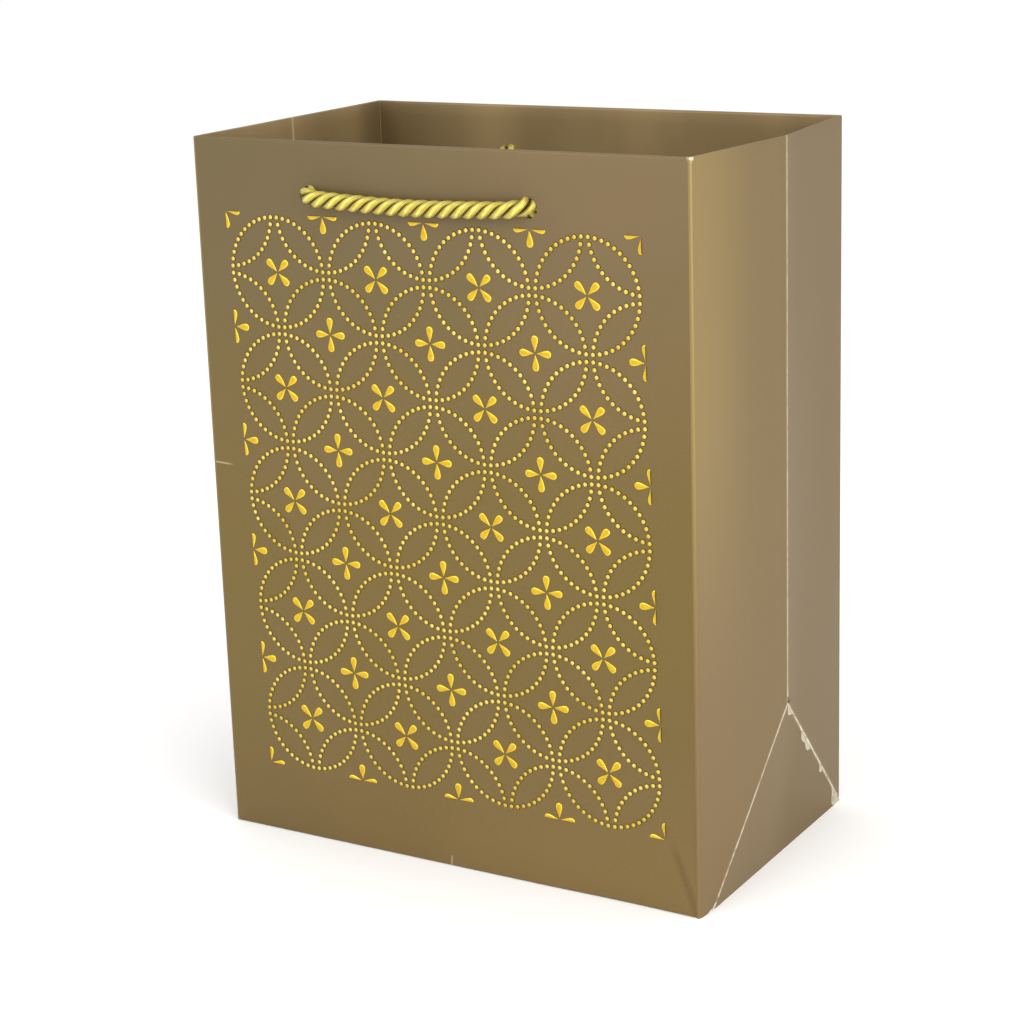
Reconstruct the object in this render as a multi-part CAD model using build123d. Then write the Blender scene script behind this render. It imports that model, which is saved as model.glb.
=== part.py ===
from build123d import *
import math
import os

# Paper gift bag with twisted cord handles. The bag stands on its base, opening up.
# Origin: centre of the base, on the floor. +Z up, -Y the front panel, +X the right gusset.
# Every crease is a hinge, so each panel between creases is a solid of its own.

# ---- driving dimensions (mm) ----
BAG_W = 182.0            # outside width of the front panel
BAG_D = 110.0            # outside depth of the gussets
BAG_H = 240.0            # height
PAPER = 0.4              # thickness of the laminated art paper
GAP = 0.35               # clearance between two panels across a crease
BULGE_ANGLE = 5.5        # how far each half of the right gusset leans out, degrees
FOLD_Z = BAG_D / 2       # height of the crease where the back wall folds
HEM_H = 35.0             # depth of the turned-in top edge
HEM_INSET = 7.0          # hem and card stop short of the corner creases
CARD_T = 0.8             # reinforcing card inside the hem
CARD_H = 30.0
BASE_CARD_T = 1.2
BASE_CARD_FRONT = 4.5    # base card clearance to the front panel
BASE_CARD_SIDE = 6.0
SEAM_W = 16.0            # glued seam of the paper tube
CORD_D = 5.5             # twisted cord
HOLE_D = 6.4
HOLE_LEFT_X = -45.5
HOLE_RIGHT_X = 35.7
HOLE_Z = 222.4
CORD_SAG = 1.2
KNOT_D = 13.6
KNOT_Z = 118.0
CORD_END_Z = 103.0

# ---- derived ----
HALF_W = BAG_W / 2
HALF_D = BAG_D / 2
INNER_X = HALF_W - PAPER
INNER_Y = HALF_D - PAPER
LEAN = math.radians(BULGE_ANGLE)
RIGHT_HALF = (INNER_Y + PAPER * math.sin(LEAN)) / math.cos(LEAN)
LAYER = PAPER
SIDE_LAYER_TOP = 3 * PAPER


def panel(origin, along, outward, outline, thickness=PAPER, offset=0.0):
    """A flat sheet: outline in (along, up) coordinates, thickened along outward."""
    plane = Plane(origin=origin, x_dir=along, z_dir=outward)
    # the plane's own y direction is up or down, depending on which side it is seen from
    flip = 1.0 if plane.y_dir.Z > 0 else -1.0
    corners = [(a, flip * z) for a, z in outline]
    wire = Wire.make_polygon([plane.from_local_coords(Vector(a, z, offset)) for a, z in corners])
    face = Face(wire)
    return extrude(face, amount=thickness, dir=Vector(*outward))


def box_between(x0, x1, y0, y1, z0, z1):
    """An axis-aligned block given by its two corners."""
    block = Box(x1 - x0, y1 - y0, z1 - z0)
    return block.moved(Location(((x0 + x1) / 2, (y0 + y1) / 2, (z0 + z1) / 2)))


def punched(sheet, side):
    """Cuts the two plain round cord holes through a front or back layer.

    The back is punched like the front when each is seen from outside the bag.
    """
    for x in (HOLE_LEFT_X, HOLE_RIGHT_X):
        x = -side * x
        drill = Cylinder(HOLE_D / 2, BAG_D * 2, rotation=(90, 0, 0))
        sheet = sheet - drill.moved(Location((x, 0, HOLE_Z)))
    return sheet


# ---- front and back walls ----
def front_panel():
    return punched(box_between(-HALF_W, HALF_W, -HALF_D, -INNER_Y, 0, BAG_H), -1)


def back_panel():
    return punched(box_between(-HALF_W, HALF_W, INNER_Y, HALF_D, FOLD_Z + GAP, BAG_H), 1)


def back_fold_strip():
    return box_between(-HALF_W, HALF_W, INNER_Y, HALF_D, 0, FOLD_Z - GAP)


def wall_card(side):
    """Stiff card glued between the wall and its hem, so the cord holes don't tear."""
    near = side * INNER_Y
    far = side * (INNER_Y - CARD_T)
    half = HALF_W - HEM_INSET - 1.0
    top = BAG_H - 0.6
    return punched(box_between(-half, half, min(near, far), max(near, far), top - CARD_H, top), side)


def wall_hem(side):
    """The top edge turned in and glued over the card."""
    near = side * (INNER_Y - CARD_T)
    far = side * (INNER_Y - CARD_T - PAPER)
    half = HALF_W - HEM_INSET
    return punched(box_between(-half, half, min(near, far), max(near, far), BAG_H - HEM_H, BAG_H), side)


def side_seam_flap():
    """The overlap that closes the paper tube, glued inside the back wall."""
    x0 = -HALF_W + HEM_INSET
    return box_between(x0, x0 + SEAM_W, INNER_Y - PAPER, INNER_Y, FOLD_Z + 6, BAG_H - HEM_H - 0.5)


# ---- gussets ----
def front_half_outline(length):
    """Front half of a gusset: full height at the corner, cut by the 45 degree base crease."""
    rise = 1.6
    end = length - GAP
    return [(GAP, GAP + rise), (end, end + rise), (end, BAG_H), (GAP, BAG_H)]


def rear_half_outline(length):
    """Rear half of a gusset, above the level of the back wall's crease."""
    return [(GAP, FOLD_Z + GAP), (length - GAP, FOLD_Z + GAP), (length - GAP, BAG_H), (GAP, BAG_H)]


def corner_outline(length):
    """The triangle below the rear half, between the base crease and the back corner."""
    inset = 1.2
    top = FOLD_Z - GAP
    return [(GAP + inset, top), (length - GAP, top), (length - GAP, 2.2 + inset)]


def hem_outline(start, end):
    return [(start, BAG_H - HEM_H), (end, BAG_H - HEM_H), (end, BAG_H), (start, BAG_H)]


def right_front_frame():
    """Inner face of the right gusset's front half: it leans out from the front corner."""
    along = (math.sin(LEAN), math.cos(LEAN), 0)
    outward = (math.cos(LEAN), -math.sin(LEAN), 0)
    return (INNER_X, -INNER_Y, 0), along, outward


def right_rear_frame():
    """Inner face of the right gusset's rear half, measured from the back corner."""
    along = (math.sin(LEAN), -math.cos(LEAN), 0)
    outward = (math.cos(LEAN), math.sin(LEAN), 0)
    return (INNER_X, INNER_Y, 0), along, outward


def left_front_frame():
    return (-INNER_X, -INNER_Y, 0), (0, 1, 0), (-1, 0, 0)


def left_rear_frame():
    return (-INNER_X, INNER_Y, 0), (0, -1, 0), (-1, 0, 0)


def mirrored(outline, length):
    """The same outline measured from the other end of the half gusset."""
    return [(length - a, z) for a, z in outline]


def gusset_front(frame, length):
    return panel(*frame, front_half_outline(length))


def gusset_rear(frame, length):
    return panel(*frame, mirrored(rear_half_outline(length), length))


def gusset_corner(frame, length):
    return panel(*frame, mirrored(corner_outline(length), length))


def gusset_hem(frame, length):
    origin, along, outward = frame
    outline = hem_outline(HEM_INSET, length - 2 * GAP)
    return panel(origin, along, outward, outline, PAPER, -PAPER)


def foot_triangle(side, lean):
    """The triangle that stands on the side edge of the base, between the two base creases."""
    inset = 1.0
    low = -PAPER + 0.05      # a little below its hinge line, down to the floor
    tall = HALF_D / math.cos(lean) - 2 * inset
    foot = HALF_D - 2 * PAPER - inset
    outline = [(-foot, low), (foot, low), (0, tall)]
    # local frame: along Y, up the leaning face
    up = Vector(side * math.sin(lean), 0, math.cos(lean))
    out = Vector(side * math.cos(lean), 0, -math.sin(lean))
    origin = Vector(side * INNER_X, 0, PAPER)
    corners = [origin + Vector(0, 1, 0) * a + up * z for a, z in outline]
    return extrude(Face(Wire.make_polygon(corners)), amount=PAPER, dir=out)


# ---- base ----
def base_back_flap():
    """Outermost layer of the base, glued last. It reaches from the back past the middle."""
    edge = INNER_Y - GAP
    half = INNER_X - GAP
    return box_between(-half, half, -16, edge, 0, LAYER)


def base_front_flap():
    edge = INNER_Y - GAP
    half = INNER_X - GAP
    return box_between(-half, half, -edge, 20, LAYER, 2 * LAYER)


def base_side_flap(side):
    """First layer folded in. Its ends are cut at 45 degrees."""
    edge = INNER_X - GAP
    reach = 42.0
    half = INNER_Y - 1.6
    inner = edge - reach
    points = [(edge, -half), (edge, half), (inner, half - reach), (inner, -half + reach)]
    corners = [Vector(side * x, y, 2 * LAYER) for x, y in points]
    return extrude(Face(Wire.make_polygon(corners)), amount=LAYER, dir=(0, 0, 1))


def base_card():
    """Loose-cut card glued onto the inside of the base."""
    half = INNER_X - BASE_CARD_SIDE
    front = -INNER_Y + BASE_CARD_FRONT
    back = INNER_Y - 3.0
    return box_between(-half, half, front, back, SIDE_LAYER_TOP, SIDE_LAYER_TOP + BASE_CARD_T)


# ---- handle cords ----
def cord_route(side):
    """Points of one handle cord: tail end, up inside the wall, out, across, in and down."""
    wall = INNER_Y - CARD_T - PAPER
    inside = wall - CORD_D / 2 - 0.5
    outside = HALF_D + CORD_D / 2 + 0.3
    knot_y = INNER_Y - KNOT_D / 2 - 0.4
    mid_y = (inside + knot_y) / 2
    x0 = HOLE_LEFT_X
    x1 = HOLE_RIGHT_X
    third = (x1 - x0) / 5
    left_tail = [
        (x0 + 7.5, knot_y, CORD_END_Z),
        (x0 + 7.0, knot_y - 0.2, 139.0),
        (x0 + 4.5, mid_y, 175.0),
        (x0 + 0.9, inside + 0.3, 206.5),
        (x0, inside, HOLE_Z),
    ]
    outside_run = [
        (x0, outside, HOLE_Z),
        (x0 + third, outside + 0.1, HOLE_Z - CORD_SAG * 0.75),
        (x0 + 2.5 * third, outside, HOLE_Z - CORD_SAG * 1.35),
        (x1 - third, outside + 0.1, HOLE_Z - CORD_SAG * 0.75),
        (x1, outside, HOLE_Z),
    ]
    right_tail = [
        (x1, inside, HOLE_Z),
        (x1 - 0.5, inside + 0.3, 206.5),
        (x1 - 2.2, mid_y, 175.0),
        (x1 - 3.0, knot_y - 0.2, 139.0),
        (x1 - 3.4, knot_y, CORD_END_Z),
    ]
    route = left_tail + outside_run + right_tail
    if side > 0:
        # the same handle seen from behind, still listed from -X to +X
        return [(-x, y, z) for x, y, z in reversed(route)]
    return [(x, -y, z) for x, y, z in route]


def bend_radii(points):
    """For every inner point the largest smooth bend its two runs have room for."""
    radii = []
    for a, b, c in zip(points, points[1:], points[2:]):
        first = Vector(*b) - Vector(*a)
        second = Vector(*c) - Vector(*b)
        turn = math.radians(first.get_angle(second))
        room = 0.45 * min(first.length, second.length)
        radii.append(room / math.tan(turn / 2))
    return radii


def cord_line(side):
    points = cord_route(side)
    return FilletPolyline(*points, radius=bend_radii(points))


def handle_cord(side):
    """Three-strand satin cord, as one round section along its whole route."""
    line = cord_line(side)
    start = Plane(origin=line @ 0, z_dir=line % 0)
    return sweep(start * Circle(CORD_D / 2), path=line)


def knot(side, at_left, cord):
    """Overhand knot at the end of a tail, drawn as a bead round the cord."""
    points = cord_route(side)
    end, before = (points[0], points[1]) if at_left else (points[-1], points[-2])
    share = (KNOT_Z - end[2]) / (before[2] - end[2])
    centre = Vector(*end) + (Vector(*before) - Vector(*end)) * share
    bead = Sphere(KNOT_D / 2).moved(Location(centre))
    return bead - cord


def write(name, solid):
    solids = solid.solids()
    assert len(solids) == 1, (name, len(solids))
    export_step(solids[0], f"parts/{name}.step")
    size = solids[0].bounding_box().size
    print(f"{name:24s} {size.X:7.1f} {size.Y:7.1f} {size.Z:7.1f}  volume {solids[0].volume:9.1f}")


def main():
    os.makedirs("parts", exist_ok=True)
    write("front_panel", front_panel())
    write("back_panel", back_panel())
    write("back_fold_strip", back_fold_strip())
    for name, side in (("front", -1), ("back", 1)):
        write(f"{name}_top_card", wall_card(side))
        write(f"{name}_hem", wall_hem(side))
        line = cord_line(side)
        cord = handle_cord(side)
        write(f"{name}_cord", cord)
        section = math.pi * CORD_D ** 2 / 4
        radii = [round(r, 1) for r in bend_radii(cord_route(side))]
        print(f"  length {line.length:.1f} volume/section {cord.volume / section:.1f} radii {radii}")
        write(f"{name}_left_knot", knot(side, True, cord))
        write(f"{name}_right_knot", knot(side, False, cord))
    write("side_seam_flap", side_seam_flap())
    right = RIGHT_HALF
    left = INNER_Y
    write("right_gusset_front", gusset_front(right_front_frame(), right))
    write("right_gusset_rear", gusset_rear(right_rear_frame(), right))
    write("right_corner_triangle", gusset_corner(right_rear_frame(), right))
    write("right_front_hem", gusset_hem(right_front_frame(), right))
    write("right_rear_hem", gusset_hem(right_rear_frame(), right))
    write("right_foot_triangle", foot_triangle(1, LEAN))
    write("left_gusset_front", gusset_front(left_front_frame(), left))
    write("left_gusset_rear", gusset_rear(left_rear_frame(), left))
    write("left_corner_triangle", gusset_corner(left_rear_frame(), left))
    write("left_front_hem", gusset_hem(left_front_frame(), left))
    write("left_rear_hem", gusset_hem(left_rear_frame(), left))
    write("left_foot_triangle", foot_triangle(-1, 0.0))
    write("base_back_flap", base_back_flap())
    write("base_front_flap", base_front_flap())
    write("base_left_flap", base_side_flap(-1))
    write("base_right_flap", base_side_flap(1))
    write("base_card", base_card())


main()
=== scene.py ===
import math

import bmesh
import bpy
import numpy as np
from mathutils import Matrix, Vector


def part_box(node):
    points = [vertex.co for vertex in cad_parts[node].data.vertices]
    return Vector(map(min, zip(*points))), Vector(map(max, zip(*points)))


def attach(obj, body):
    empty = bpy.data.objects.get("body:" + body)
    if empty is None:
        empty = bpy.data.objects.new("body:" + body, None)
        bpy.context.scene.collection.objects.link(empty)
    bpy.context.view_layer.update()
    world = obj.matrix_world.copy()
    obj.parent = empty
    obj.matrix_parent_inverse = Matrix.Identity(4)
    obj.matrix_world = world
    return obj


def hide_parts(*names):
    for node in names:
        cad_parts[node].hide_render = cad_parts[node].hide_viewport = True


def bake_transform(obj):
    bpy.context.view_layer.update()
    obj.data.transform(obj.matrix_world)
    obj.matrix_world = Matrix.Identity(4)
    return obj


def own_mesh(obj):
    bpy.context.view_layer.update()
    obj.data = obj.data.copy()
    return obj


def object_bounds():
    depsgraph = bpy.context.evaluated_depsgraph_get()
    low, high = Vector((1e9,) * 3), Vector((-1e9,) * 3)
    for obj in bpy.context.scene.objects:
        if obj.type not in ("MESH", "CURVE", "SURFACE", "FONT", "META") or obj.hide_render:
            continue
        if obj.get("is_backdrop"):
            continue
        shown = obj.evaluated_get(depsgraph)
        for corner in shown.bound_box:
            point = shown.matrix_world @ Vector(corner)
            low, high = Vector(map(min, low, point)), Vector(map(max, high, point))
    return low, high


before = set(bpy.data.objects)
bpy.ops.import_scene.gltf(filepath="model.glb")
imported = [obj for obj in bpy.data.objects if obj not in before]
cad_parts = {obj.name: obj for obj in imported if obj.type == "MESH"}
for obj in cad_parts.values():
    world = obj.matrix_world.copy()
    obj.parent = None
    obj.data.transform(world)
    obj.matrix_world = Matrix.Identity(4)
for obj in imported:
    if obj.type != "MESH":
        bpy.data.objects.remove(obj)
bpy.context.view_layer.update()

# %% [markdown]
# # A paper gift bag with twisted cord handles
#
# The bag is one sheet of laminated paper, printed with gold foil, folded round and glued
# into a tube, with its top edge turned in over two strips of card and its bottom closed
# by four flaps. Two cords pass through punched holes and end in knots inside.
#
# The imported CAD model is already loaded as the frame. Everything below is built in its
# coordinates: metres, the origin on the floor under the middle of the bag, the front wall
# towards -Y and the bulging gusset towards +X.

MM = 0.001

# %% [markdown]
# ## Sizes
#
# The frame knows where every wall is, so the sizes are read from its nodes. Only the
# softness of the paper is new here: how round a fold is, how far a wall bows, and how
# the thickness of paper and card add up at the turned-in top edge.

# %% Sizes read from the frame
front_low, front_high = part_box("front_panel")
_, back_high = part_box("back_panel")
_, gusset_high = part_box("right_gusset_front")
hem_low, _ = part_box("front_hem")

HALF_W = front_high.x
FRONT_Y = front_low.y
BACK_Y = back_high.y
TOP_Z = front_high.z
APEX_X = gusset_high.x
PAPER = front_high.y - front_low.y
HEM_Z = hem_low.z
FOLD_Z = BACK_Y
HOLE_X = (-45.5 * MM, 35.7 * MM)
HOLE_Z = 222.4 * MM
HOLE_D = 6.4 * MM
FOLD_R = 1.2 * MM
GUSSET_HEM = 0.65 * MM
WALL_HEM = 1.42 * MM
sizes = {"half width": HALF_W, "half depth": BACK_Y, "height": TOP_Z, "apex": APEX_X}
print({name: round(size / MM, 2) for name, size in sizes.items()})

# %% [markdown]
# ## Camera, floor and light
#
# The bag is seen slightly from above through a long lens, which keeps the upright edges
# nearly parallel. The camera is placed by its distance and two
# angles round the bag, with a small roll. The light is a white tent: a white world, a
# white floor, and one large soft panel on the right that lifts the side of the bag.

# %% Camera
AZIMUTH = math.radians(31.24)
ELEVATION = math.radians(15.50)
ROLL = math.radians(-1.87)
DISTANCE = 0.8383
TARGET = Vector((-0.0068, 0.0, 0.1082))

back = Vector((
    math.sin(AZIMUTH) * math.cos(ELEVATION),
    -math.cos(AZIMUTH) * math.cos(ELEVATION),
    math.sin(ELEVATION),
))
side = Vector((0, 0, 1)).cross(back).normalized()
up = back.cross(side)
right = side * math.cos(ROLL) + up * math.sin(ROLL)
above = up * math.cos(ROLL) - side * math.sin(ROLL)
camera = bpy.data.objects.new("camera", bpy.data.cameras.new("camera"))
bpy.context.scene.collection.objects.link(camera)
turn = Matrix((right, above, back)).transposed().to_4x4()
camera.matrix_world = Matrix.Translation(TARGET + back * DISTANCE) @ turn
camera.data.sensor_width = 36.0
camera.data.lens = 86.13
camera.data.clip_start = 0.01
bpy.context.scene.camera = camera
print("camera at", [round(v, 3) for v in camera.matrix_world.translation])

# %% World and lights
world = bpy.data.worlds.new("white tent")
world.use_nodes = True
world.node_tree.nodes["Background"].inputs["Color"].default_value = (1, 1, 1, 1)
world.node_tree.nodes["Background"].inputs["Strength"].default_value = 1.06
bpy.context.scene.world = world
bpy.context.scene.view_settings.view_transform = "Standard"


def soft_panel(name, place, aim, size, power, tint=(1.0, 1.0, 1.0)):
    """A square area light at place, pointing at aim."""
    data = bpy.data.lights.new(name, "AREA")
    data.size = size
    data.energy = power
    data.color = tint
    lamp = bpy.data.objects.new(name, data)
    bpy.context.scene.collection.objects.link(lamp)
    lamp.location = place
    lamp.rotation_mode = "QUATERNION"
    lamp.rotation_quaternion = (Vector(aim) - Vector(place)).to_track_quat("-Z", "Y")
    return lamp


soft_panel("right panel", (1.3, -0.6, 0.7), (0.05, 0.0, 0.12), 1.5, 17.0, (1.0, 0.98, 0.95))
soft_panel("front panel", (-0.5, -1.5, 1.1), (0.0, 0.0, 0.12), 0.9, 7.0)

# %% [markdown]
# ## Writing node trees as arithmetic
#
# A material or a Geometry Nodes tree is easier to read as an expression than as a page
# of links. `Link` wraps one output socket, and adding or multiplying it adds the Math
# node that does so. `Tree.node` makes any other node: first its settings, then the value
# or the link of each of its sockets, found by identifier, name or number.

# %% Links and trees
class Link:
    """One output of a node, which arithmetic can be done on."""

    def __init__(self, tree, socket):
        self.tree = tree
        self.socket = socket

    def maths(self, operation, *terms):
        inputs = dict(enumerate(terms))
        return self.tree.node("ShaderNodeMath", {"operation": operation}, inputs)[0]

    def __add__(self, other):
        return self.maths("ADD", self, other)

    def __radd__(self, other):
        return self.maths("ADD", other, self)

    def __sub__(self, other):
        return self.maths("SUBTRACT", self, other)

    def __rsub__(self, other):
        return self.maths("SUBTRACT", other, self)

    def __mul__(self, other):
        return self.maths("MULTIPLY", self, other)

    def __rmul__(self, other):
        return self.maths("MULTIPLY", other, self)

    def __truediv__(self, other):
        return self.maths("DIVIDE", self, other)

    def __rtruediv__(self, other):
        return self.maths("DIVIDE", other, self)

    def __gt__(self, other):
        return self.maths("GREATER_THAN", self, other)

    def most(self, other):
        return self.maths("MAXIMUM", self, other)

    def size(self):
        return self.maths("ABSOLUTE", self)

    def sine(self):
        return self.maths("SINE", self)

    def ramp(self, low, high, out_low=0.0, out_high=1.0):
        """Smoothly from out_low, where this is low, to out_high, where it is high."""
        settings = {"interpolation_type": "SMOOTHSTEP"}
        inputs = {0: self, 1: low, 2: high, 3: out_low, 4: out_high}
        return self.tree.node("ShaderNodeMapRange", settings, inputs)[0]


# %% Sockets and nodes of a tree
def socket_of(sockets, key):
    """A socket by its number, its identifier or its name."""
    if isinstance(key, int):
        return sockets[key]
    for found in sockets:
        if found.identifier == key:
            return found
    return sockets[key]


class Made:
    """A node in a tree, whose outputs are asked for like items."""

    def __init__(self, tree, node):
        self.tree = tree
        self.node = node

    def __getitem__(self, key):
        return Link(self.tree, socket_of(self.node.outputs, key))


class Tree:
    """A node tree that nodes are added to."""

    def __init__(self, data):
        self.data = data

    def node(self, kind, settings=None, inputs=None):
        new = self.data.nodes.new(kind)
        for name, value in (settings or {}).items():
            setattr(new, name, value)
        for key, value in (inputs or {}).items():
            target = socket_of(new.inputs, key)
            if isinstance(value, Link):
                self.data.links.new(value.socket, target)
            else:
                target.default_value = value
        return Made(self, new)

    def noise(self, place, scale, detail=2.0, roughness=0.5):
        inputs = {"Vector": place, "Scale": scale, "Detail": detail, "Roughness": roughness}
        return self.node("ShaderNodeTexNoise", None, inputs)["Fac"]

    def blend(self, share, first, second):
        """The colour first where share is 0 and second where it is 1."""
        inputs = {"Factor_Float": share, "A_Color": first, "B_Color": second}
        return self.node("ShaderNodeMix", {"data_type": "RGBA"}, inputs)["Result_Color"]

    def stretched(self, place, scale):
        """The place with each of its axes scaled."""
        inputs = {0: place, 1: scale}
        return self.node("ShaderNodeVectorMath", {"operation": "MULTIPLY"}, inputs)[0]

    def place(self):
        """The Object coordinates of the point being shaded."""
        return self.node("ShaderNodeTexCoord")["Object"]

    def axes(self, vector):
        """The three numbers of a vector."""
        parts = self.node("ShaderNodeSeparateXYZ", None, {0: vector})
        return parts[0], parts[1], parts[2]

    def read(self, name):
        """The number that the mesh carries under this name."""
        return self.node("ShaderNodeAttribute", {"attribute_name": name})["Fac"]

    def bump(self, strength, distance, height):
        inputs = {"Strength": strength, "Distance": distance, "Height": height}
        return self.node("ShaderNodeBump", None, inputs)["Normal"]


# %% Colours and materials
def colour(red, green, blue):
    """A colour from its 0 to 255 display values, as the linear numbers shaders use."""
    linear = []
    for level in (red, green, blue):
        share = level / 255
        linear.append(share / 12.92 if share <= 0.04045 else ((share + 0.055) / 1.055) ** 2.4)
    return (*linear, 1.0)


def finish_material(name, surface):
    """A new material whose Principled inputs come from surface(tree)."""
    made = bpy.data.materials.new(name)
    made.use_nodes = True
    made.node_tree.nodes.clear()
    tree = Tree(made.node_tree)
    shader = tree.node("ShaderNodeBsdfPrincipled", None, surface(tree))
    tree.node("ShaderNodeOutputMaterial", None, {"Surface": shader["BSDF"]})
    print("material", name, "with", len(made.node_tree.nodes), "nodes")
    return made


# %% [markdown]
# ## The floor
#
# A plain matt white floor, so bright in this light that only the shadow where the bag
# stands shows on it. It belongs to the stage and not to the bag.

# %% Floor
def floor_surface(tree):
    place = tree.place()
    tone = tree.noise(place, 3.0)
    return {
        "Base Color": tree.blend(tone, (0.93, 0.93, 0.93, 1), (0.96, 0.96, 0.96, 1)),
        "Roughness": 0.9,
        "Specular IOR Level": 0.0,
    }


floor_mesh = bpy.data.meshes.new("floor")
reach = 6.0
floor_mesh.from_pydata(
    [(-reach, -reach, 0), (reach, -reach, 0), (reach, reach, 0), (-reach, reach, 0)],
    [],
    [(0, 1, 2, 3)],
)
floor = bpy.data.objects.new("floor", floor_mesh)
bpy.context.scene.collection.objects.link(floor)
floor_mesh.materials.append(finish_material("matt white floor", floor_surface))
floor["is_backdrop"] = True

# %% [markdown]
# ## Bronze paper, white core and card
#
# The printed side is a pearlescent bronze: between paint and metal, soft in its
# reflections, with a very fine grain and slow cloudy changes between an olive and a rosy
# brown. Where the lamination is folded sharply it cracks, and the white paper shows as
# thin broken lines. Each paper piece carries attributes for that: `crease`, the distance
# to its nearest worn fold, `flake` and `pale`, how that fold is worn, `below`, the side of
# a slanting crease that flakes, and `corner`, how rubbed an upright corner is. `gusset` is
# 1 on the sides of the bag, whose own tones carry painted light: a painted highlight near
# the front corner, brighter towards the top, and painted shade on the rear half.

# %% Bronze paper
WORN_NAMES = ("crease", "flake", "pale", "corner", "below")


def cracked(tree, place, tone):
    """The Principled inputs of bronze paper of this tone, with its worn folds."""
    wear = {name: tree.read(name) for name in WORN_NAMES}
    gap, flaky = wear["crease"], wear["flake"] * wear["below"]
    grain = tree.noise(place, 2600.0, 3.0, 0.7)
    ragged = tree.noise(place, 420.0, 2.0, 0.5)
    across, depth, height = tree.axes(place)
    run = depth.size() - height
    along = tree.node("ShaderNodeCombineXYZ", None, {0: run, 1: across * 0.1})[0]
    broken = tree.noise(along, 72.0, 1.0, 0.4)
    speckled = tree.blend(grain.ramp(0.35, 0.8, 0.0, 0.22), tone, colour(150, 130, 88))
    wobble = gap + (tree.noise(place, 160.0, 2.0) - 0.5) * (0.4 * MM)
    width = 0.14 * MM + 0.22 * MM * ragged.ramp(0.3, 0.7)
    line = (width - wobble).ramp(-0.1 * MM, 0.14 * MM)
    reach = 2.6 * MM * broken.ramp(0.44, 0.68) + 2.6 * MM * run.ramp(0.036, 0.050)
    lifted = (wobble - 0.45 * MM).ramp(0.0, 0.15 * MM)
    sliver = (reach * flaky - wobble).ramp(0.0, 0.2 * MM) * lifted
    spotted = ragged.ramp(0.26, 0.42, 0.45, 1.0) * wear["pale"]
    crack = line.most(sliver * 0.7) * spotted
    tip = tree.node("ShaderNodeVectorMath", {"operation": "DISTANCE"}, {
        0: place,
        1: (HALF_W, FRONT_Y, TOP_Z),
    })["Value"]
    crack = crack.most((1.9 * MM - tip).ramp(0.0, 0.8 * MM, 0.0, 0.8) * ragged.ramp(0.40, 0.52))
    worn = (1.3 * MM - gap).ramp(0.0, 1.3 * MM, 0.0, 0.42) * wear["pale"].ramp(0.0, 0.5)
    rim = wear["corner"].ramp(0.0, 0.8, 0.0, 0.30) * height.ramp(0.08, 0.24, 0.25, 1.0)
    rubbed = tree.blend(worn.most(rim), speckled, colour(178, 162, 124))
    relief = grain * 0.4 + crack + tree.noise(place, 60.0, 2.0) * 1.5
    return {
        "Base Color": tree.blend(crack, rubbed, colour(198, 192, 174)),
        "Metallic": 0.42 - 0.42 * crack,
        "Roughness": 0.40 + 0.1 * grain + 0.25 * crack,
        "Normal": tree.bump(0.25, 0.1 * MM, relief),
        "Specular IOR Level": 0.35,
    }


# %% Marks of the front wall
def front_marks(tree, across, depth, height, tone):
    """The front wall's few marks: painted shade along a soft fold, a scratch and a dent in its
    bottom edge.
    """
    front = (FRONT_Y + 2.5 * MM - depth).ramp(0.0, 0.5 * MM)
    off_fold = (across + 0.38 * height - (HALF_W - 0.5 * MM)).size()
    low_down = (26 * MM - height).ramp(0.0, 8 * MM)
    # Painted shade: the soft fold near the lower right corner is painted as a dark smear.
    fold = (2.4 * MM - off_fold).ramp(0.0, 2.4 * MM, 0.0, 0.34) * low_down
    shaded = tree.blend(fold * front, tone, colour(72, 56, 28))
    off_scratch = (height - 130.5 * MM + 0.04 * (across + HALF_W)).size()
    near_edge = (9.5 * MM - HALF_W - across).ramp(0.0, 4 * MM, 0.0, 0.5)
    scratch = (0.42 * MM - off_scratch).ramp(0.0, 0.3 * MM) * near_edge
    off_dent = (across + 1.5 * MM - 0.1 * height).size()
    at_edge = (4.5 * MM - height).ramp(0.0, 1.5 * MM)
    dent = (0.5 * MM - off_dent).ramp(0.0, 0.4 * MM, 0.0, 0.4) * at_edge
    return tree.blend(scratch.most(dent) * front, shaded, colour(196, 186, 158))


# %% Tones of the printed side and of the hem
def bronze_surface(tree):
    place = tree.place()
    across, depth, height = tree.axes(place)
    cloud = tree.noise(place, 14.0, 2.0)
    olive = colour(101, 88, 59)
    rosy = colour(117, 97, 68)
    warm = colour(109, 90, 44)
    lower = tree.blend(cloud.ramp(0.3, 0.7), warm, colour(109, 90, 51))
    upper = tree.blend((across * 4.0 + cloud - 0.1).ramp(0.0, 1.0), olive, rosy)
    foot = tree.blend(
        (across * 6.0 + cloud).ramp(-0.1, 0.9),
        colour(106, 87, 49),
        colour(119, 97, 55),
    )
    plain = tree.blend(height.ramp(0.0, 0.06), foot, lower)
    wall = tree.blend(height.ramp(0.12, 0.24), plain, upper)
    marked = front_marks(tree, across, depth, height, wall)
    # Painted light on the sides: a painted highlight near the front corner, brighter towards the
    # top and fading back towards the middle crease, and the rear half painted darker, as painted
    # shade.
    painted_corner_highlight = tree.blend(height.ramp(0.06, 0.17), colour(118, 96, 61), colour(134, 113, 66))
    near = tree.blend(depth.ramp(-0.055, -0.012), painted_corner_highlight, colour(114, 94, 60))
    gusset = tree.blend((depth + cloud * 0.01).ramp(-0.002, 0.02), near, colour(104, 84, 44))
    on_side = tree.read("gusset")
    return cracked(tree, place, tree.blend(on_side, marked, gusset))


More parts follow.
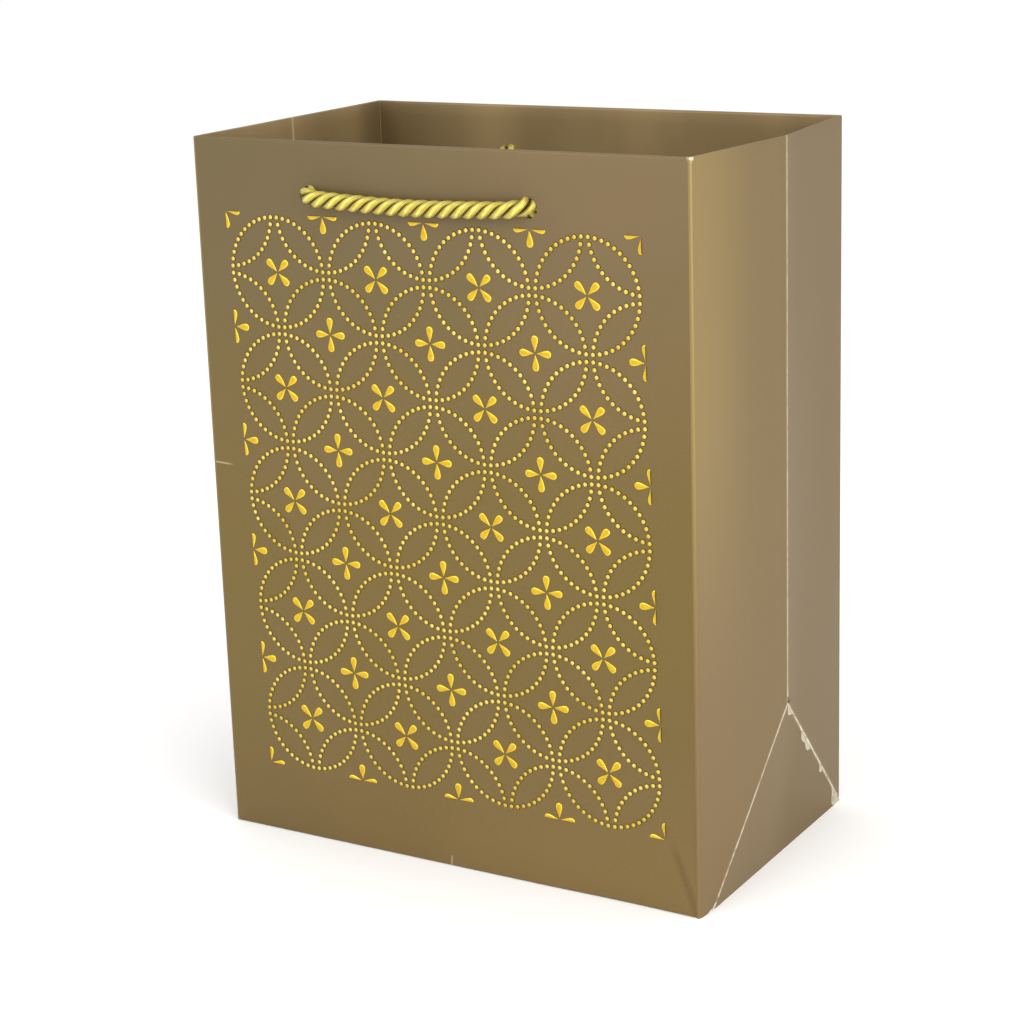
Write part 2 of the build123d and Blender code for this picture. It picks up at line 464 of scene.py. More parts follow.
def hem_surface(tree):
    place = tree.place()
    across, depth, _ = tree.axes(place)
    # The turned-in paper is painted in lighter tones than the printed side outside, as painted
    # light inside the mouth, and its stretched lighter patches are painted reflections.
    sheen = tree.noise(tree.stretched(place, (1.0, 1.0, 0.25)), 34.0, 2.0)
    tone = tree.blend(sheen.ramp(0.3, 0.7), colour(127, 108, 73), colour(151, 129, 89))
    # Painted shade: darker towards the back left corner inside the mouth.
    painted_back_left_shade = across.ramp(-0.09, -0.03, 1.0, 0.0) * depth.ramp(0.03, 0.052, 0.0, 0.8)
    return cracked(tree, place, tree.blend(painted_back_left_shade, tone, colour(110, 93, 62)))


bronze = finish_material("pearlescent bronze paper", bronze_surface)
hem_bronze = finish_material("bronze paper turned in", hem_surface)


# %% White side and cut edges of the paper
def white_surface(tree):
    place = tree.place()
    fibre = tree.noise(tree.stretched(place, (1.0, 1.0, 0.35)), 900.0, 4.0, 0.65)
    mottle = tree.noise(place, 45.0, 2.0)
    tone = tree.blend(mottle, colour(226, 222, 212), colour(238, 235, 227))
    return {
        "Base Color": tree.blend(fibre.ramp(0.35, 0.75, 0.0, 0.5), tone, colour(210, 204, 192)),
        "Roughness": 0.75 + 0.15 * fibre,
        "Normal": tree.bump(0.3, 0.08 * MM, fibre),
    }


white = finish_material("uncoated white side", white_surface)


# %% Grey board for the base card and the strips in the hems
def board_surface(tree):
    place = tree.place()
    pulp = tree.noise(tree.stretched(place, (0.5, 1.0, 1.0)), 1400.0, 5.0, 0.7)
    flecks = tree.noise(place, 620.0, 2.0, 0.4)
    mottle = tree.noise(place, 38.0, 3.0)
    tone = tree.blend(mottle.ramp(0.3, 0.7), colour(166, 161, 151), colour(184, 179, 168))
    fibred = tree.blend(pulp.ramp(0.4, 0.7, 0.0, 0.6), tone, colour(140, 134, 123))
    return {
        "Base Color": tree.blend(flecks.ramp(0.66, 0.72), fibred, colour(98, 88, 76)),
        "Roughness": 0.82 + 0.12 * pulp,
        "Normal": tree.bump(0.4, 0.1 * MM, pulp),
    }


board = finish_material("grey board", board_surface)

# %% [markdown]
# ## The handle cords
#
# Each handle is about a third of a metre of satin cord: three fat strands laid round each
# other, each strand a bundle of shiny yarns. The cord's line is one NURBS spline that
# runs up inside the wall, out through one hole, along the front, in through the other
# hole and down again. The strands follow points read from that spline, so the twist stays
# even round the bends.

# %% Gold cord
def cord_surface(tree):
    around, along, _ = tree.axes(tree.node("ShaderNodeUVMap", {"uv_map": "strand"})["UV"])
    place = tree.place()
    yarn_turns = 13.0
    yarns = ((around * yarn_turns + along * 210.0) * 2.0 * math.pi).sine() * 0.5 + 0.5
    # Painted shade on the inward side of each strand, where the strands meet, and a painted
    # highlight along its outermost line.
    painted_gap_shade = ((around - 0.5).size() * -2.0 + 1.0).ramp(0.26, 0.56)
    painted_crest_highlight = ((around - 0.5).size() * 2.0).ramp(0.80, 1.0)
    uneven = tree.noise(place, 420.0, 2.0)
    sheen = tree.blend(painted_crest_highlight, colour(180, 160, 48), colour(238, 224, 104))
    # The yarn stripes are painted lighter, as painted glints along the shiny yarns.
    bright = tree.blend(yarns.ramp(0.3, 1.0, 0.0, 0.45), sheen, colour(251, 242, 150))
    toned = tree.blend(uneven.ramp(0.35, 0.75, 0.0, 0.55), bright, colour(172, 150, 38))
    return {
        "Base Color": tree.blend(painted_gap_shade, toned, colour(70, 52, 12)),
        "Metallic": 0.5,
        "Roughness": 0.28 + 0.2 * uneven,
        "Normal": tree.bump(0.5, 0.1 * MM, yarns),
        "Sheen Weight": 0.08,
        "Specular IOR Level": 0.5,
    }


gold_satin = finish_material("gold satin cord", cord_surface)

# %% The cord's line
CORD_D = 5.5 * MM
LAY = 14.2 * MM
CORD_POINTS = [
    (-38.0, 47.4, 103.0), (-38.5, 47.2, 139.0), (-41.0, 48.775, 175.0),
    (-44.6, 50.45, 206.5), (-45.5, 50.15, 225.0),
    (-45.5, 58.05, 222.4), (-29.26, 58.15, 221.5), (-4.9, 58.05, 220.78),
    (19.46, 58.15, 221.5), (35.7, 58.05, 222.4),
    (35.7, 50.15, 225.0), (35.2, 50.45, 206.5), (33.5, 48.775, 175.0),
    (32.7, 47.2, 139.0), (32.3, 47.4, 103.0),
]


def cord_route(face):
    """The control points of one handle, face -1 for the front and 1 for the back.

    The back is the same handle seen from behind, still listed from -X to +X.
    """
    route = CORD_POINTS if face < 0 else [(-x, y, z) for x, y, z in reversed(CORD_POINTS)]
    return [(x * MM, face * y * MM, z * MM) for x, y, z in route]


# %% Points along the cord's spline
def spline_points(name, controls):
    """Points along the NURBS spline through these control points."""
    curve = bpy.data.curves.new(name, "CURVE")
    curve.dimensions = "3D"
    spline = curve.splines.new("NURBS")
    spline.points.add(len(controls) - 1)
    for point, place in zip(spline.points, controls):
        point.co = (*place, 1.0)
    spline.order_u = 3
    spline.use_endpoint_u = True
    spline.resolution_u = 24
    line = bpy.data.objects.new(name, curve)
    mesh = bpy.data.meshes.new_from_object(line)
    points = np.array([v.co for v in mesh.vertices])
    bpy.data.objects.remove(line)
    bpy.data.meshes.remove(mesh)
    bpy.data.curves.remove(curve)
    return points


def evenly(points, step):
    """The same line, with points about step apart, and its length."""
    gaps = np.linalg.norm(np.diff(points, axis=0), axis=1)
    keep = np.concatenate(([True], gaps > 1e-9))
    points = points[keep]
    run = np.concatenate(([0.0], np.cumsum(np.linalg.norm(np.diff(points, axis=0), axis=1))))
    marks = np.linspace(0.0, run[-1], max(8, int(run[-1] / step)))
    return np.stack([np.interp(marks, run, points[:, k]) for k in range(3)], axis=1), run[-1]


def frames_along(points):
    """A tangent and two sideways directions at each point, turning as little as possible."""
    tangents = np.gradient(points, axis=0)
    tangents /= np.linalg.norm(tangents, axis=1)[:, None]
    first = np.cross(tangents[0], (0.0, 1.0, 0.0))
    if np.linalg.norm(first) < 0.1:
        first = np.cross(tangents[0], (1.0, 0.0, 0.0))
    sideways = [first / np.linalg.norm(first)]
    for tangent in tangents[1:]:
        carried = sideways[-1] - tangent * np.dot(sideways[-1], tangent)
        sideways.append(carried / np.linalg.norm(carried))
    sideways = np.array(sideways)
    return tangents, sideways, np.cross(tangents, sideways)


print("cord points:", len(CORD_POINTS))


# %% Strands round a line
def link_mesh(name, vertices, faces, materials):
    """A new object at the origin from plain vertices and faces."""
    mesh = bpy.data.meshes.new(name)
    mesh.from_pydata(vertices, [], faces)
    mesh.update()
    for material in materials:
        mesh.materials.append(material)
    piece = bpy.data.objects.new(name, mesh)
    bpy.context.scene.collection.objects.link(piece)
    mesh.shade_smooth()
    return piece


STRANDS = 3
STRAND_SHARE = 1 / 2.1547


def strand_tubes(points, diameter, lay, hand=1.0, sides=12, closed=False):
    """Vertices, faces and UVs of strands laid round a line to make a cord of a diameter.

    Three round strands that touch each have `STRAND_SHARE` of the radius of the cord.
    """
    tangents, sideways, other = frames_along(points)
    gaps = np.linalg.norm(np.diff(points, axis=0), axis=1)
    run = np.concatenate(([0.0], np.cumsum(gaps)))
    strand_r = diameter / 2 * STRAND_SHARE
    offset = diameter / 2 - strand_r
    angle = np.linspace(0, 2 * math.pi, sides, endpoint=False)
    vertices, faces, uvs = [], [], []
    for k in range(STRANDS):
        phase = hand * 2 * math.pi * run / lay + 2 * math.pi * k / STRANDS
        out = sideways * np.cos(phase)[:, None] + other * np.sin(phase)[:, None]
        middle = points + out * offset
        heading = np.gradient(middle, axis=0)
        heading /= np.linalg.norm(heading, axis=1)[:, None]
        beside = np.cross(heading, out)
        beside /= np.linalg.norm(beside, axis=1)[:, None]
        outward = np.cross(beside, heading)
        fat = 1.0 + 0.05 * np.sin(run / lay * 2.7 + 2.1 * k) * np.sin(run / lay * 1.3 + k)
        start = len(vertices)
        for i in range(len(points)):
            ring = (
                middle[i]
                + strand_r * fat[i] * np.cos(angle)[:, None] * outward[i]
                + strand_r * 1.06 * fat[i] * np.sin(angle)[:, None] * beside[i]
            )
            vertices.extend(ring)
        for i in range(len(points) - 1):
            for j in range(sides):
                a = start + i * sides + j
                b = start + i * sides + (j + 1) % sides
                faces.append((a, b, b + sides, a + sides))
                u0, u1 = j / sides, (j + 1) / sides
                uvs.extend(((u0, run[i]), (u1, run[i]), (u1, run[i + 1]), (u0, run[i + 1])))
        if closed:
            last = start + (len(points) - 1) * sides
            for j in range(sides):
                a, b = last + j, last + (j + 1) % sides
                faces.append((a, b, start + (j + 1) % sides, start + j))
                uvs.extend(((j / sides, 0.0),) * 4)
        else:
            for ring, flip in ((start, True), (start + (len(points) - 1) * sides, False)):
                tip = len(vertices)
                centre = np.mean(vertices[ring:ring + sides], axis=0)
                outwards = -tangents[0] if flip else tangents[-1]
                vertices.append(centre + outwards * strand_r * 0.45)
                for j in range(sides):
                    a, b = ring + j, ring + (j + 1) % sides
                    faces.append((b, a, tip) if flip else (a, b, tip))
                    uvs.extend(((j / sides, 0.0),) * 3)
    return vertices, faces, uvs


# %% A cord as one mesh
def laid_cord(name, points, diameter, lay, **options):
    """A cord of twisted strands, as one mesh with a strand UV map."""
    vertices, faces, uvs = strand_tubes(points, diameter, lay, **options)
    piece = link_mesh(name, vertices, faces, [gold_satin])
    layer = piece.data.uv_layers.new(name="strand")
    layer.data.foreach_set("uv", np.array(uvs, np.float32).ravel())
    check = bmesh.new()
    check.from_mesh(piece.data)
    bmesh.ops.recalc_face_normals(check, faces=check.faces)
    check.to_mesh(piece.data)
    check.free()
    print(f"{name}: {len(piece.data.polygons)} faces")
    return piece


# %% [markdown]
# ## Knots
#
# Inside the bag each tail is tied in an overhand knot that is too big for the hole. A
# trefoil curve pulled small round the tail has the same look: three loops that pass over
# and under each other. It is laid from the same three strands.

# %% Overhand knots
KNOT_CORD_D = 4.7 * MM
KNOT_LAY = 8.6 * MM
KNOT_REACH = 1.42 * MM
KNOT_RISE = 2.9 * MM


def knot_line(centre):
    """A closed trefoil of the knot's size round the tail."""
    t = np.linspace(0, 2 * math.pi, 150, endpoint=False)
    x = (np.sin(t) + 2 * np.sin(2 * t)) * KNOT_REACH
    y = (np.cos(t) - 2 * np.cos(2 * t)) * KNOT_REACH
    z = -np.sin(3 * t) * KNOT_RISE
    return np.stack([x, y, z], axis=1) + np.array(centre)


# %% Two handles and their four knots
cords = {}
for face, label in ((-1, "front"), (1, "back")):
    line, length = evenly(spline_points(label, cord_route(face)), 0.5 * MM)
    cord = laid_cord(f"{label}_cord_strands", line, CORD_D, LAY, hand=-1.0)
    knots = []
    for place in ("left", "right"):
        low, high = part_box(f"{label}_{place}_knot")
        knot = laid_cord(
            f"{label}_{place}_overhand_knot",
            knot_line((low + high) / 2),
            KNOT_CORD_D,
            KNOT_LAY,
            sides=10,
            closed=True,
        )
        knots.append((place, knot))
    cords[label] = (cord, line, length, knots)

# %% Cords ride with their walls
for label, (cord, line, length, knots) in cords.items():
    wall = f"{label}_wall"
    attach(cord, wall)
    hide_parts(f"{label}_cord")
    for place, knot in knots:
        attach(knot, wall)
        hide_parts(f"{label}_{place}_knot")
    [tuple(p) for p in line[::3]] + [tuple(line[-1])]
print("cords:", {label: round(made[2] / MM) for label, made in cords.items()})

# %% [markdown]
# ## One sheet of paper, panel by panel
#
# Seen from above, the walls of the bag are one line that runs round the mouth, with a
# small round fold at each corner. A panel is the part of that line between two folds,
# swept upwards. The printed skin and the white skin are made from the same line, and the
# top edge runs over and down again as the hem, so that each panel is one closed folded
# sheet. It bows a little between its creases, because paper that has been folded flat
# never stands quite straight.

# %% The line round the mouth
def corner_arc(corner, first, second, radius, steps):
    """Points and outward normals round a fold between two directions."""
    first, second = np.array(first), np.array(second)
    turn = math.acos(np.clip(np.dot(first, second), -1, 1))
    reach = radius * math.tan(turn / 2)
    start = np.array(corner) - first * reach
    normal = np.array((first[1], -first[0]))
    centre = start - normal * radius
    places = []
    for k in range(steps + 1):
        angle = turn * k / steps
        spun = normal * math.cos(angle) + first * math.sin(angle)
        places.append((centre + spun * radius, spun))
    return places, reach


LEAN = math.atan2(APEX_X - HALF_W, BACK_Y)
EAST = (1.0, 0.0)
WEST = (-1.0, 0.0)
SOUTH = (0.0, -1.0)
OUT_NORTH = (math.sin(LEAN), math.cos(LEAN))
IN_NORTH = (-math.sin(LEAN), math.cos(LEAN))
FRONT_RIGHT = (HALF_W, FRONT_Y)
RIGHT_APEX = (APEX_X, 0.0)
BACK_RIGHT = (HALF_W, BACK_Y)
BACK_LEFT = (-HALF_W, BACK_Y)
LEFT_MIDDLE = (-HALF_W, 0.0)
FRONT_LEFT = (-HALF_W, FRONT_Y)


# %% The columns of a panel
COLUMN_STEP = 6.0 * MM


def straight_shares(length):
    """Shares of a length, close together near its two ends."""
    near = [d * MM for d in (0.0, 0.18, 0.4, 0.75, 1.3, 2.2, 3.6)]
    middle = np.linspace(near[-1], length - near[-1], int(length / COLUMN_STEP))
    places = near[:-1] + list(middle) + [length - d for d in reversed(near[:-1])]
    return [p / length for p in places]


ARC_STEPS = 8


def wall_line(begin, end, heading, before=None, after=None):
    """A panel's columns: place, outward normal, and share of the way between its corners.

    before and after are the directions of the neighbours whose fold this panel includes.
    A corner that a neighbour includes is only cut back, by the trim in `TRIMS`.
    """
    begin, end, heading = np.array(begin), np.array(end), np.array(heading)
    normal = np.array((heading[1], -heading[0]))
    columns = []
    lead, trail = TRIMS[tuple(begin)], TRIMS[tuple(end)]
    if before is not None:
        arc, _ = corner_arc(begin, before, heading, CORNER_R[tuple(begin)], ARC_STEPS)
        columns += [(place, spun, 0.0) for place, spun in arc[:-1]]
    start, stop = begin + heading * lead, end - heading * trail
    for share in straight_shares(np.linalg.norm(stop - start)):
        columns.append((start + (stop - start) * share, normal, share))
    if after is not None:
        arc, _ = corner_arc(end, heading, after, CORNER_R[tuple(end)], ARC_STEPS)
        columns += [(place, spun, 1.0) for place, spun in arc[1:]]
    return columns


CORNER_R = {
    FRONT_RIGHT: FOLD_R,
    RIGHT_APEX: 3.0 * MM,
    BACK_RIGHT: FOLD_R,
    BACK_LEFT: FOLD_R,
    FRONT_LEFT: FOLD_R,
}
TRIMS = {LEFT_MIDDLE: 0.0}
for corner, (into, out_of) in {
    FRONT_RIGHT: (EAST, OUT_NORTH),
    RIGHT_APEX: (OUT_NORTH, IN_NORTH),
    BACK_RIGHT: (IN_NORTH, WEST),
    BACK_LEFT: (WEST, SOUTH),
    FRONT_LEFT: (SOUTH, EAST),
}.items():
    TRIMS[corner] = corner_arc(corner, into, out_of, CORNER_R[corner], 4)[1]

LINES = {
    "front": wall_line(FRONT_LEFT, FRONT_RIGHT, EAST),
    "right_front": wall_line(FRONT_RIGHT, RIGHT_APEX, OUT_NORTH, before=EAST),
    "right_rear": wall_line(RIGHT_APEX, BACK_RIGHT, IN_NORTH, before=OUT_NORTH),
    "back": wall_line(BACK_RIGHT, BACK_LEFT, WEST, before=IN_NORTH, after=SOUTH),
    "left_rear": wall_line(BACK_LEFT, LEFT_MIDDLE, SOUTH),
    "left_front": wall_line(LEFT_MIDDLE, FRONT_LEFT, SOUTH, after=EAST),
}
print("columns:", {name: len(line) for name, line in LINES.items()})


# %% How each panel bows
def bell(share, low=0.0, high=1.0):
    """0 at low and high, 1 half-way, and smooth."""
    inside = np.clip((share - low) / (high - low), 0, 1)
    return np.sin(math.pi * inside) ** 1.5


def bow_front(share, z):
    height = z / HEM_Z
    belly = 1.1 * bell(share) * bell(height)
    ripple = 0.22 * bell(share) * np.sin(share * 7.0 + height * 3.0) * bell(height)
    corner_fold = -0.35 * bell((1 - share) * 3.2 + height * 4.0) * (share > 0.6)
    return (belly + ripple + corner_fold) * MM


def bow_back(share, z):
    height = z / HEM_Z
    return (0.9 + 0.2 * np.sin(share * 9.0)) * bell(share) * bell(height) * MM


def bow_half_gusset(share, z):
    height = z / TOP_Z
    dish = -0.55 * bell(share) * bell(height, 0.12, 1.25)
    return (dish + 0.15 * bell(share) * np.sin(height * 9.0)) * MM


BOWS = {
    "front": bow_front,
    "right_front": bow_half_gusset,
    "right_rear": bow_half_gusset,
    "back": bow_back,
    "left_rear": bow_half_gusset,
    "left_front": bow_half_gusset,
}
print("front belly in mm:", round(float(bow_front(0.5, 0.12)) / MM, 2))


# %% Worn folds of the gussets
# Each fold is two ends (depth, height) in the plane of the gusset, how badly it flakes,
# and how pale its line is. The front slanting crease meets the floor a little behind the
# corner.
FOOT_STEP = 8.0 * MM
CORNER_RUB = 0.75 * MM
WORN_FOLDS = (
    ((0.0, FOLD_Z), (0.0, TOP_Z), 0.03, 0.42),
    ((0.0, FOLD_Z), (FRONT_Y + FOOT_STEP, 0.0), 0.05, 0.85),
    ((0.0, FOLD_Z), (BACK_Y, 0.0), 1.0, 1.0),
)


def fold_wear(points):
    """What the bronze paper reads at each point.

    Distance to the nearest worn fold, that fold's flaking and paleness, how rubbed an
    upright corner is, and 1 below the slanting creases.
    """
    best = np.full(len(points), 1.0)
    wear, pale = np.zeros(len(points)), np.zeros(len(points))
    on_gusset = np.abs(points[:, 0]) > HALF_W - 1.5 * MM
    for begin, end, badly, light in WORN_FOLDS:
        begin, end = np.array(begin), np.array(end)
        way = end - begin
        flat = points[:, 1:] - begin
        share = np.clip(flat @ way / (way @ way), 0, 1)
        gap = np.linalg.norm(flat - share[:, None] * way, axis=1)
        nearer = on_gusset & (gap < best)
        best[nearer], wear[nearer], pale[nearer] = gap[nearer], badly, light
    below = (points[:, 2] + np.abs(points[:, 1]) < FOLD_Z).astype(float)
    corner = np.hypot(np.abs(points[:, 0]) - HALF_W, np.abs(points[:, 1]) - BACK_Y)
    return best, wear, pale, np.clip(1 - corner / CORNER_RUB, 0, 1), below


print("worn folds:", len(WORN_FOLDS))


# %% A closed sheet from its two skins
SHARP = math.radians(38)
PRINTED, CUT, TURNED = 0, 1, 2


def sheet_piece(name, outer, inner, hem_row=None, last_edge=CUT):
    """One closed sheet. outer and inner are rows of columns of points, joined at their rims.

    From hem_row on, the printed skin has been turned in, and shows inside the bag.
    last_edge is the material slot of the edge after the last column.
    """
    rows, count = len(outer), len(outer[0])
    vertices = [p for row in outer for p in row] + [p for row in inner for p in row]
    base = rows * count
    faces, slots = [], []
    for i in range(rows - 1):
        for j in range(count - 1):
            a, b = i * count + j, i * count + j + 1
            faces.append((a, b, b + count, a + count))
            slots.append(TURNED if hem_row is not None and i >= hem_row else PRINTED)
            faces.append((base + b, base + a, base + a + count, base + b + count))
            slots.append(CUT)
    for j in range(count - 1):
        top = (rows - 1) * count
        faces.append((base + j, base + j + 1, j + 1, j))
        faces.append((top + j, top + j + 1, base + top + j + 1, base + top + j))
        slots += [CUT, CUT]
    for i in range(rows - 1):
        a, b = i * count, (i + 1) * count
        faces.append((a, b, base + b, base + a))
        a, b = a + count - 1, b + count - 1
        faces.append((b, a, base + a, base + b))
        slots += [CUT, last_edge]
    piece = link_mesh(name, vertices, faces, [bronze, white, hem_bronze])
    piece.data.polygons.foreach_set("material_index", slots)
    shape = bmesh.new()
    shape.from_mesh(piece.data)
    bmesh.ops.remove_doubles(shape, verts=shape.verts, dist=1e-6)
    bmesh.ops.dissolve_degenerate(shape, edges=shape.edges, dist=1e-7)
    bmesh.ops.recalc_face_normals(shape, faces=shape.faces)
    shape.to_mesh(piece.data)
    shape.free()
    piece.data.set_sharp_from_angle(angle=SHARP)
    return piece


def mark_folds(piece):
    """Writes the attributes that the bronze paper reads."""
    places = np.empty(len(piece.data.vertices) * 3)
    piece.data.vertices.foreach_get("co", places)
    found = fold_wear(places.reshape(-1, 3))
    flat_wall = "wall" in piece.name or "back" in piece.name
    on_side = np.full(len(places) // 3, 0.0 if flat_wall else 1.0)
    for name, values in zip((*WORN_NAMES, "gusset"), (*found, on_side)):
        layer = piece.data.attributes.new(name, "FLOAT", "POINT")
        layer.data.foreach_set("value", values.astype(np.float32))
    print(f"{piece.name}: {len(piece.data.polygons)} faces")
    return piece


# %% The section of a panel, from its bottom edge over the top and down the hem
CURL_STEPS = 6
HEM_FOLD_STEPS = 8
HEM_ROWS = 9
TURNED_ROWS = 12


def smooth(share):
    share = min(1.0, max(0.0, share))
    return share * share * (3 - 2 * share)


def leg_heights(low, high, fine_low):
    """Heights from low to high, close together near the bottom when it is a fold."""
    near = [d * MM for d in (0.0, 0.2, 0.45, 0.8, 1.4, 2.4)] if fine_low else [0.0]
    upper = np.linspace(low + near[-1], high, 34)
    return [low + d for d in near[:-1]] + list(upper)


def section(low, top, hem_depth, curl, fine_low):
    """Pairs (height, depth) of the printed skin and of the white skin, row by row."""
    half = PAPER / 2
    rows = []
    if curl:
        for k in range(CURL_STEPS):
            angle = math.pi / 2 * k / CURL_STEPS
            away = (-math.cos(angle), -math.sin(angle))
            mid = (
                low + curl + half - curl * math.cos(angle),
                half + curl - curl * math.sin(angle),
            )
            rows.append((
                (mid[0] + away[0] * half, mid[1] + away[1] * half),
                (mid[0] - away[0] * half, mid[1] - away[1] * half),
            ))
        low = low + curl + half
    if hem_depth is None:
        for z in leg_heights(low, top, fine_low):
            rows.append(((z, 0.0), (z, PAPER)))
        return rows
    bend = (hem_depth - half) / 2
    shoulder = top - half - bend
    for z in leg_heights(low, shoulder, fine_low):
        rows.append(((z, 0.0), (z, PAPER)))
    for k in range(1, HEM_FOLD_STEPS):
        angle = math.pi * k / HEM_FOLD_STEPS
        pair = []
        for radius in (bend + half, bend - half):
            height = shoulder + radius * math.sin(angle)
            pair.append((height, half + bend - radius * math.cos(angle)))
        rows.append(tuple(pair))
    for z in np.linspace(shoulder, HEM_Z, HEM_ROWS):
        rows.append(((z, hem_depth + half), (z, hem_depth - half)))
    return rows


def hem_depth_at(x, deep):
    """How deep the hem's middle lies: over the card in a wall, or on the paper near a corner."""
    if not deep:
        return GUSSET_HEM
    past_card = HALF_W - 3.8 * MM
    return GUSSET_HEM + (WALL_HEM - GUSSET_HEM) * smooth((past_card - abs(x)) / (4.0 * MM))


# %% A whole panel
def panel_piece(name, line, low_at, high, hem=False, deep=False, curl=0.0, fine_low=False):
    """The part of a wall's line between two heights, as a folded sheet with both its skins."""
    bow = BOWS[line]
    outer_rows, inner_rows = None, None
    for place, normal, share in LINES[line]:
        depth = hem_depth_at(place[0], deep) if hem else None
        rows = section(low_at(share), high, depth, curl, fine_low)
        if outer_rows is None:
            outer_rows = [[] for _ in rows]
            inner_rows = [[] for _ in rows]
        for i, pair in enumerate(rows):
            for (z, inset), skin in zip(pair, (outer_rows, inner_rows)):
                out = bow(share, z) - inset
                skin[i].append((place[0] + normal[0] * out, place[1] + normal[1] * out, z))
    hem_row = len(outer_rows) - TURNED_ROWS if hem else None
    return sheet_piece(name, outer_rows, inner_rows, hem_row, PRINTED if line == "back" else CUT)


def level(height):
    return lambda share: height


# %% [markdown]
# ## Walls and gussets
#
# A wall goes down to the floor and curls under into the base. The front half of a gusset
# ends on the slanting crease that runs from the bottom corner up to the middle crease.
# The rear half ends level with the crease where the back wall folds, and the triangle
# below it is a piece of its own, because it lies down with that fold.

# %% Walls
FLOOR_CURL = 0.7 * MM
WALL = {"hem": True, "deep": True}
front_paper = panel_piece(
    "front_wall_paper", "front", level(0.0), TOP_Z, curl=FLOOR_CURL, **WALL
)
back_paper = panel_piece("back_wall_paper", "back", level(FOLD_Z), TOP_Z, **WALL)
back_strip = panel_piece("back_lower_paper", "back", level(0.0), FOLD_Z, curl=FLOOR_CURL)

# %% Gussets
STEP_SHARE = FOOT_STEP / BACK_Y


def rising(share):
    """The slanting crease of a half gusset whose corner comes first."""
    return FOLD_Z * share


def falling(share):
    """The slanting crease of a half gusset whose corner comes last."""
    return FOLD_Z * (1 - share)


def front_rising(share):
    """The right front half's slanting crease, which starts a step behind the corner."""
    return FOLD_Z * max(0.0, (share - STEP_SHARE) / (1 - STEP_SHARE))


def front_falling(share):
    """The left front half's slanting crease, which ends a step behind the corner."""
    return front_rising(1 - share)


GUSSET_LOWS = {"right": (front_rising, falling), "left": (front_falling, rising)}
gussets = {}
for hand, (front_low_at, corner_low_at) in GUSSET_LOWS.items():
    gussets[hand] = (
        panel_piece(
            f"{hand}_gusset_front_paper", f"{hand}_front", front_low_at, TOP_Z,
            hem=True, fine_low=True,
        ),
        panel_piece(
            f"{hand}_gusset_rear_paper", f"{hand}_rear", level(FOLD_Z), TOP_Z, hem=True
        ),
        panel_piece(
            f"{hand}_corner_paper", f"{hand}_rear", corner_low_at, FOLD_Z, fine_low=True
        ),
    )
right_front, right_rear, right_corner = gussets["right"]
left_front, left_rear, left_corner = gussets["left"]


# %% Foot triangles
def foot_piece(name, face):
    """The triangle between the base's side edge and the two slanting creases."""
    outer_rows, inner_rows = [], []
    lean = LEAN if face > 0 else 0.0
    out = np.array((face * math.cos(lean), 0.0, -math.sin(lean)))
    near = [0.0, 0.003, 0.008, 0.016, 0.03]
    shares = near + list(np.linspace(0.06, 0.94, 16)) + [1 - n for n in reversed(near)]
    for height in [0.0, 0.01, 0.03, 0.07] + list(np.linspace(0.13, 0.94, 12)) + [0.985, 1.0]:
        z = FOLD_Z * height
        first = (FRONT_Y + FOOT_STEP) * (1 - height)
        last = BACK_Y * (1 - height)
        step = math.tan(lean) * FOOT_STEP
        apex = APEX_X if face > 0 else HALF_W
        front_x = HALF_W + step + (apex - HALF_W - step) * height
        rear_x = HALF_W + (apex - HALF_W) * height
        outer, inner = [], []
        for share in shares:
            swell = 0.25 * MM * bell(share) * bell(height)
            x = face * (front_x + (rear_x - front_x) * share)
            place = np.array((x, first + (last - first) * share, z)) + out * swell
            outer.append(tuple(place))
            inner.append(tuple(place - out * PAPER * (1.0 if height < 0.98 else 0.6)))
        outer_rows.append(outer)
        inner_rows.append(inner)
    return sheet_piece(name, outer_rows, inner_rows)


right_foot = foot_piece("right_foot_paper", 1)
left_foot = foot_piece("left_foot_paper", -1)

# %% [markdown]
# ## Seam, cord holes and card
#
# Where the two ends of the sheet meet, a narrow flap is glued inside the back wall. Its
# white side shows inside the bag. The holes are cut through the finished folded sheets by
# a Boolean with a round punch, through both layers at once, as they are in the bag.

# %% Side seam flap
def seam_flap():
    """The glued overlap, a strip on the inner face of the back wall."""
    flap_low, flap_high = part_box("side_seam_flap")
    outer_rows, inner_rows = [], []
    shares = [0.0, 0.04, 0.2, 0.5, 0.8, 0.96, 1.0]
    for z in np.linspace(flap_low.z, flap_high.z, 18):
        bow_rows = []
        for inset in (PAPER + 0.03 * MM, 2 * PAPER + 0.03 * MM):
            row = []
            for share in shares:
                x = flap_high.x + (flap_low.x - flap_high.x) * share
                across = (HALF_W - x) / (2 * HALF_W)
                thin = 0.12 * MM if share in (0.0, 1.0) and inset > 0.6 * MM else 0.0
                y = BACK_Y + float(bow_back(across, z)) - inset + thin
                row.append((x, y, z))
            bow_rows.append(row)
        outer_rows.append(bow_rows[0])
        inner_rows.append(bow_rows[1])
    return sheet_piece("side_seam_paper", outer_rows, inner_rows)


seam = seam_flap()


